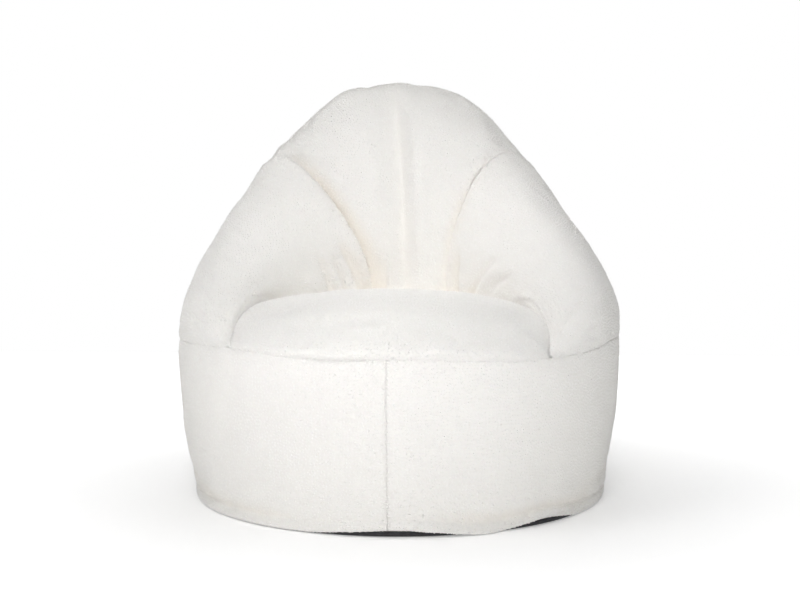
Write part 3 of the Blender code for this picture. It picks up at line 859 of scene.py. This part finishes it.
# %% [markdown]
# ## The looped-pile cloth
#
# The yarn is thick, soft and spun with small loops, in an off-white. Where the cloth lies in a
# fold, a warmer cream is painted in as painted bounce light. Its look comes from three scales: a
# mottle a few centimetres wide from uneven dyeing, the curls themselves, and the fuzz on each
# strand, which is only bump. Beside the left seam a brown is painted over the yarn: the backing
# between the stitches, and painted shadow under the wing's lap. In deep folds the same brown is
# painted shade.

# %% Cloth and yarn materials
# Painted bounce light: the warmer cream painted into folds.
PAINTED_BOUNCE_CREAM = (0.955, 0.91, 0.84)
# The brown painted beside the left seam, for the backing and as painted shadow, and in deep folds as
# painted shade.
BACKING_AND_SHADE_BROWN = (0.56, 0.47, 0.36)
MOTTLE_SCALE = 22
FUZZ_SCALE = 900
UNDYED = (0.8, 0.8, 0.8)  # what shows where a viewer leaves the dyeing nodes out


def stored(tree, name):
    """A number kept with each point of the mesh."""
    return add_node(tree, "ShaderNodeAttribute", attribute_name=name)["Fac"]


def mixed(tree, share, a, b):
    inputs = {"Factor": share, "A": a, "B": b}
    return add_node(tree, "ShaderNodeMix", inputs, data_type="RGBA")["Result"]


def multiply_add(tree, *values):
    inputs = dict(enumerate(values))
    return add_node(tree, "ShaderNodeMath", inputs, operation="MULTIPLY_ADD")[0]


def bumped(tree, height, strength, distance):
    inputs = {"Height": height, "Strength": strength, "Distance": distance}
    return add_node(tree, "ShaderNodeBump", inputs)["Normal"]


def noise_texture(tree, scale, detail):
    inputs = {"Vector": object_place(tree), "Scale": scale, "Detail": detail}
    return add_node(tree, "ShaderNodeTexNoise", inputs)["Fac"]


def yarn_material(name, pale, warm, bump_scale, bump_distance):
    made, tree, shader = plain_material(name, UNDYED, 0.95)
    yarn = multiply_add(tree, noise_texture(tree, MOTTLE_SCALE, 4), 0.6, stored(tree, "shade"))
    colour = mixed(tree, yarn, (*warm, 1), (*pale, 1))
    # Painted bounce light: a warmer cream in the folds.
    colour = mixed(tree, stored(tree, "fold"), colour, (*PAINTED_BOUNCE_CREAM, 1))
    # Painted brown: the backing and painted shadow at the left seam, and painted shade in deep
    # folds.
    colour = mixed(tree, stored(tree, "bare"), colour, (*BACKING_AND_SHADE_BROWN, 1))
    loops = {"Vector": object_place(tree), "Scale": bump_scale}
    loops = add_node(tree, "ShaderNodeTexVoronoi", loops, feature="SMOOTH_F1")["Distance"]
    height = multiply_add(tree, loops, -1.0, noise_texture(tree, FUZZ_SCALE, 2))
    soft = {"Specular IOR Level": 0.15, "Sheen Weight": 0.25, "Sheen Roughness": 0.6}
    soft["Base Color"], soft["Normal"] = colour, bumped(tree, height, 0.6, bump_distance)
    fill_inputs(tree, shader, soft)
    return made


CLOTH_PALE, CLOTH_WARM = (0.945, 0.932, 0.905), (0.92, 0.902, 0.868)
CURL_PALE, CURL_WARM = (0.955, 0.942, 0.915), (0.915, 0.897, 0.863)
cloth_finish = yarn_material("boucle_backing", CLOTH_PALE, CLOTH_WARM, 300, 0.0004)
curl_finish = yarn_material("boucle_curls", CURL_PALE, CURL_WARM, 420, 0.0005)
print("two finishes of one yarn")

# %% [markdown]
# ## Curls of yarn
#
# The pile is thousands of short loops, each about as long as a grain of rice. A curl is a low
# dome on a flat foot: its rounded top and the shade around it are all that shows at arm's length.
# Three shapes, turned and sized at random by Geometry Nodes, never look repeated.

# %% Curl shapes
CURL_LENGTH = 0.0062
CURL_SPACING = 0.0047
CURL_FOOT = -0.12  # in curl lengths: just under the cloth, so that no rim lifts off it
CURL_SHAPES = (
    # name, half length, half width, height
    ("curl_round", 0.5, 0.47, 0.24),
    ("curl_long", 0.64, 0.4, 0.21),
    ("curl_tall", 0.45, 0.44, 0.28),
)


def curl_shape(name, half_length, half_width, height):
    """A dome: five points round its foot and one on top."""
    turns = [k * math.tau / 5 for k in range(5)]
    points = [(half_length * math.cos(a), half_width * math.sin(a), CURL_FOOT) for a in turns]
    points.append((0.1 * half_length, 0, height))
    faces = [(k, (k + 1) % 5, 5) for k in range(5)] + [(4, 3, 2, 1, 0)]
    mesh = bpy.data.meshes.new(name)
    mesh.from_pydata(points, [], faces)
    mesh.polygons.foreach_set("use_smooth", [True] * 5 + [False])
    return add_object(name, mesh)


curls = [curl_shape(*row) for row in CURL_SHAPES]
print(len(curls), "curl shapes")

# %% [markdown]
# The tree scatters points on the cloth no closer than a set spacing, lays one curl on each, turns
# it about the cloth's outward direction, and gives it its own shade. Realize Instances makes the
# curls real faces, because instances don't leave the program with an exported model.

# %% Pile tree
CURL_TILT, FULL_TURN = 0.16, 6.283  # radians: a curl tilts a little and turns any way round
CURL_SCALES = (0.75, 0.8, 0.7), (1.2, 1.15, 1.25)
CURL_SHADES = -0.1, 0.8
MOST_CURLS = 150000  # to the square metre: the spacing then thins them out


def live_output(outputs):
    """The output that belongs to the node's kind of data."""
    return next(s for s in outputs if s.enabled)


def random_value(tree, kind, low, high, seed):
    outputs = add_node(tree, "FunctionNodeRandomValue", data_type=kind)
    least, most, *_, luck = [s for s in outputs[0].node.inputs if s.enabled]
    least.default_value, most.default_value, luck.default_value = low, high, seed
    return live_output(outputs)


def pile_tree():
    tree = bpy.data.node_groups.new("looped_pile", "GeometryNodeTree")
    inputs = (("Geometry", "Geometry"), ("Seed", "Int"), ("Yarn", "Material"))
    for label, kind in inputs:
        tree.interface.new_socket(label, in_out="INPUT", socket_type="NodeSocket" + kind)
    tree.interface.new_socket("Geometry", in_out="OUTPUT", socket_type="NodeSocketGeometry")
    given = add_node(tree, "NodeGroupInput")
    shows = add_node(tree, "GeometryNodeInputNamedAttribute", {"Name": "pile"}, data_type="FLOAT")
    where = {"Mesh": given["Geometry"], "Distance Min": CURL_SPACING, "Seed": given["Seed"]}
    where |= {"Density Max": MOST_CURLS, "Density Factor": live_output(shows)}
    kind = "GeometryNodeDistributePointsOnFaces"
    scatter = add_node(tree, kind, where, distribute_method="POISSON")
    shapes = [{"Object": curl, "As Instance": True} for curl in reversed(curls)]
    shapes = [add_node(tree, "GeometryNodeObjectInfo", one)["Geometry"] for one in shapes]
    shapes = add_node(tree, "GeometryNodeJoinGeometry", {0: shapes})[0]
    least, most = (-CURL_TILT, -CURL_TILT, 0), (CURL_TILT, CURL_TILT, FULL_TURN)
    spin = {0: random_value(tree, "FLOAT_VECTOR", least, most, 3)}
    turn = {0: scatter["Rotation"], 1: add_node(tree, "FunctionNodeEulerToRotation", spin)[0]}
    size = {0: random_value(tree, "FLOAT_VECTOR", *CURL_SCALES, 5), "Scale": CURL_LENGTH}
    pick = random_value(tree, "INT", 0, len(curls) - 1, 7)
    laid = {
        "Points": scatter["Points"], "Instance": shapes,
        "Pick Instance": True, "Instance Index": pick,
        "Rotation": add_node(tree, "FunctionNodeRotateRotation", turn, rotation_space="LOCAL")[0],
        "Scale": add_node(tree, "ShaderNodeVectorMath", size, operation="SCALE")[0],
    }
    shade = {"Geometry": add_node(tree, "GeometryNodeInstanceOnPoints", laid)[0], "Name": "shade"}
    shade["Value"] = random_value(tree, "FLOAT", *CURL_SHADES, 9)
    kind = "GeometryNodeStoreNamedAttribute"
    shaded = add_node(tree, kind, shade, data_type="FLOAT", domain="INSTANCE")[0]
    real = add_node(tree, "GeometryNodeRealizeInstances", {0: shaded})[0]
    paint = {"Geometry": real, "Material": given["Yarn"]}
    both = [add_node(tree, "GeometryNodeSetMaterial", paint)[0], given["Geometry"]]
    both = add_node(tree, "GeometryNodeJoinGeometry", {0: both})[0]
    add_node(tree, "NodeGroupOutput", {0: both})
    return tree


pile = pile_tree()
print("pile tree of", len(pile.nodes), "nodes")

# %% Cover a piece with pile
def with_pile(piece, seed):
    grow = piece.modifiers.new("pile", "NODES")
    grow.node_group = pile
    values = {"Seed": seed, "Yarn": curl_finish}
    for socket in pile.interface.items_tree:
        if socket.in_out == "INPUT" and socket.name in values:
            grow[socket.identifier] = values[socket.name]
    graph = bpy.context.evaluated_depsgraph_get()
    mesh = bpy.data.meshes.new_from_object(piece.evaluated_get(graph))
    piece.modifiers.remove(grow)
    piece.data = mesh
    mesh.name = piece.name
    mesh.calc_loop_triangles()
    print(piece.name, len(mesh.loop_triangles), "triangles")
    return piece


# %% [markdown]
# ## Making the pieces
#
# Now each panel goes the same way: simulate its cloth, press its sewn edges in, close it, cover it
# with curls. The edges are held all through, so neighbours still meet along their seams.

# %% Back panels
FLOOR_SHARES = (0.0, 0.35, 0.7)
CLEARANCE = 0.001  # between the hidden faces of the pieces that stand on each other
TIP_ROWS = 14  # sections held at the narrow tips of the wings
DENT_FADE = 0.02  # how far from an edge the dents have mostly come in
BARE_EDGE = 0.0008  # no curl grows this near to a seam's stitches


def hidden_floor(section_foot, crease):
    """From the foot in over the drum's top to below the crease."""
    sill = crease.copy()
    sill[2] = min(float(drum_top(*crease[:2])) + CLEARANCE, crease[2])
    line = [sill + (section_foot - sill) * share for share in FLOOR_SHARES]
    for point in line[1:]:
        point[2] = drum_top(*point[:2]) + CLEARANCE
    return [section_foot, *line[::-1], crease]


def held_edges(grid, rows, columns):
    """1 on the named edge rows and columns of a grid, and 0 elsewhere."""
    held = np.zeros(grid.shape[:2])
    held[list(rows)] = 1
    held[:, list(columns)] = 1
    return held


def panel_of_back(name, first, last, seed):
    part = slice(first, last + 1)
    start, outwards, foot_run = back[part], back_normals[part], to_foot[part]
    ends = {0: first, -1: last}
    tips = [end for end, place in ends.items() if place in (0, len(back) - 1)]
    inner_ends = [end for end in ends if end not in tips]
    held = held_edges(start, (0, -1), (0, 1, -1))
    for tip in tips:
        held[slice(TIP_ROWS) if tip == 0 else slice(-TIP_ROWS, None)] = 1
    still = np.exp(-np.minimum(foot_run, up_lengths[part]) / DENT_FADE)
    cloth = stuffed(name, start, outwards, held, back_press[part], still) + back_lap[part]
    for tip in tips:
        cloth[tip] = start[tip, 0]
    for end in inner_ends:
        inwards = cloth[1 if end == 0 else -2].mean(axis=0) - cloth[end].mean(axis=0)
        cloth[end] += GAP / 2 * inwards / np.linalg.norm(inwards)
    seam_gap = np.min([abs(places[part, None] - seam) for seam in SEAM_STATIONS], axis=0)
    near = np.minimum(seam_gap * back_step[part], foot_run)
    pile_here = np.where(near < BARE_EDGE, 0.0, 1.0)
    piece = Piece(name)
    # The cloth carries the painted bounce light and the painted brown of backing, shadow and shade.
    piece.grid(cloth, True, pile=pile_here, fold=painted_bounce_share[part], bare=bare[part])
    below = [hidden_floor(section[-1], section[0]) for section in cloth]
    piece.grid(below, False)
    for end in inner_ends:
        piece.lace(cloth[end][INNER_STEPS::-1], [*cloth[end][INNER_STEPS:], *below[end][1:]])
    return with_pile(piece.build(cloth_finish), seed)


left_seam, right_seam = (int(np.argmin(abs(places - s))) for s in SEAM_STATIONS)
made = {
    "left_wing": panel_of_back("left_wing_cover", 0, left_seam, 1),
    "back_centre": panel_of_back("back_centre_cover", left_seam, right_seam, 2),
    "right_wing": panel_of_back("right_wing_cover", right_seam, len(back) - 1, 3),
}

# %% Seat
# The depth at which the painted bounce light is full, and its largest share.
FOLD_DEPTH, MOST_BOUNCE = 0.012, 0.85


def bounce_from_depth(depth):
    """How much painted bounce light, a warmer cream, a point takes on the seat and the band, from
    its depth.
    """
    return MOST_BOUNCE * smooth(depth / FOLD_DEPTH)


def closed(rows):
    """Rings of points with the first one again at their end."""
    return np.concatenate([rows, rows[:, :1]], axis=1)


def seat_piece():
    held, press, outwards = held_edges(seat, (-1,), ()), seat_press(seat), -normals_of(seat)
    still = np.broadcast_to(smooth((SEAT_RINGS[:, None] - 0.7) / 0.3), seat.shape[:2])
    cloth = stuffed("seat", seat, outwards, held, press, still, ring=True, slack=SEAT_SLACK)
    cloth[0] = cloth[0].mean(axis=0)
    under = []
    for share in (1.0, 0.5, 0.0):
        ring = cloth[-1].copy()
        ring[:, :2] = SEAT_CENTRE + (ring[:, :2] - SEAT_CENTRE) * share
        if share < 1:
            ring[:, 2] = DRUM_TOP + CLEARANCE
        under.append(ring)
    piece = Piece("seat_cover")
    # Painted bounce light in the seat's rolled edge and puckers.
    fold = closed(bounce_from_depth(-press))
    piece.grid(closed(cloth), True, pile=np.ones(fold.shape), fold=fold)
    piece.grid(closed(np.array(under)), False)
    return with_pile(piece.build(cloth_finish), 4)


made["seat"] = seat_piece()

# %% Band
HEM_DROP, DROP_FADE = 0.0014, 0.012  # where the hem is low its pile hangs down to the floor
HEM_LOW = 0.0055
# How much of the painted bounce light the band takes.
BAND_BOUNCE = 0.6
TOP_SHARE = 0.8
LIP = 0.0015  # how far outside the base cloth the hem's turned edge lies


def band_piece(name, side, seed):
    start, turns, held = bands[side], band_turns[side], held_edges(bands[side], (0, -1), (0, -1))
    rise, outwards = length_along(start, 1), normals_of(start) * -side
    still = np.exp(-np.minimum(rise, rise[:, -1:] - rise) / DENT_FADE)
    press = band_press(start, seed) - BAND_DRAW * (1 - still)
    cloth = stuffed(name, start, outwards, held, press, still, slack=BAND_SLACK)
    cloth[[0, -1], :, 0] = side * GAP / 2
    folds = HALF_WIDTH * np.stack([wall_fold(turns, height) for height in WALL_HEIGHTS], axis=1)
    low_hem = smooth((HEM_LOW - round_value(2, turns)) / 0.002)[:, None]
    cloth[:, :, 2] -= HEM_DROP * low_hem * np.exp(-rise / DROP_FADE)

    def hidden_line(share, level):
        """A line over the drum at a share of its reach, kept off the plane between the halves."""
        line = raised(outline(turns, share), level)
        line[:, 0] = np.where(abs(line[:, 0]) < GAP / 2, side * GAP / 2, line[:, 0])
        return line

    shoulder = hidden_line(TOP_SHARE, drum_top(*outline(turns, TOP_SHARE).T) - CLEARANCE)
    top_middle = hidden_line(0.0, DRUM_TOP - CLEARANCE)
    lip = hidden_line(BASE_SHARE + LIP, BASE_THICKNESS)
    middle = hidden_line(0.0, BASE_THICKNESS + CLEARANCE)
    piece = Piece(name)
    # Painted bounce light in the band's folds, hem and seams.
    fold = BAND_BOUNCE * bounce_from_depth(-press - folds)
    piece.grid(cloth, True, pile=np.ones(cloth.shape[:2]), fold=fold)
    piece.grid([cloth[:, -1], shoulder, top_middle], False)
    piece.grid([cloth[:, 0], lip, middle], False)
    ring = [*cloth[-1], shoulder[-1], top_middle[-1], shoulder[0], *cloth[0][::-1]]
    piece.cap([*ring, lip[0], middle[0], lip[-1]])
    return with_pile(piece.build(cloth_finish), seed)


made["band_left"] = band_piece("band_left_cover", -1, 5)
made["band_right"] = band_piece("band_right_cover", 1, 6)
for curl in curls:
    bpy.data.objects.remove(curl)

# %% [markdown]
# ## The black cloth underneath
#
# A tough woven cloth keeps the chair from sliding. Only its edge shows, as a thin dark line under
# the front hem.

# %% Base cloth
BASE_SECTION = (
    # share of the reach, share of the thickness
    (0, 0), (0.5, 0), (0.97, 0), (0.985, 0.06), (0.996, 0.25), (1, 0.5),
    (1, 0.8), (0.994, 0.95), (0.98, 1), (0.5, 1), (0, 1),
)
BLACK = (0.02, 0.02, 0.022)
WEAVE_DARK, WEAVE_LIGHT = (0.010, 0.010, 0.012, 1), (0.030, 0.030, 0.033, 1)
WEAVE_SCALE = 250


def woven_black():
    made, tree, shader = plain_material("base_weave", BLACK, 0.8)
    wave = {"Vector": object_place(tree), "Scale": WEAVE_SCALE}
    waves = [add_node(tree, "ShaderNodeTexWave", wave, bands_direction=way)["Fac"] for way in "XY"]
    weave = add_node(tree, "ShaderNodeMath", dict(enumerate(waves)), operation="MAXIMUM")[0]
    colour = mixed(tree, weave, WEAVE_DARK, WEAVE_LIGHT)
    fill_inputs(tree, shader, {"Base Color": colour, "Normal": bumped(tree, weave, 0.5, 0.0006)})
    return made


base = Piece("base_cover")
base_turns = np.linspace(0, 360, 181)
base_plans = [(outline(base_turns, BASE_SHARE * share), height) for share, height in BASE_SECTION]
base.grid([raised(plan, height * BASE_THICKNESS) for plan, height in base_plans], True)
made["base"] = base.build(woven_black())

# %% [markdown]
# ## Handing the pieces to the frame
#
# Each finished piece rides on the chair's one body and stands for the solid of its panel.

# %% Ride and replace
for node, piece in made.items():
    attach(piece, "root")
    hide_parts(node)
print(len(made), "pieces")

# %% Bring the scene up to date
bpy.context.view_layer.update()
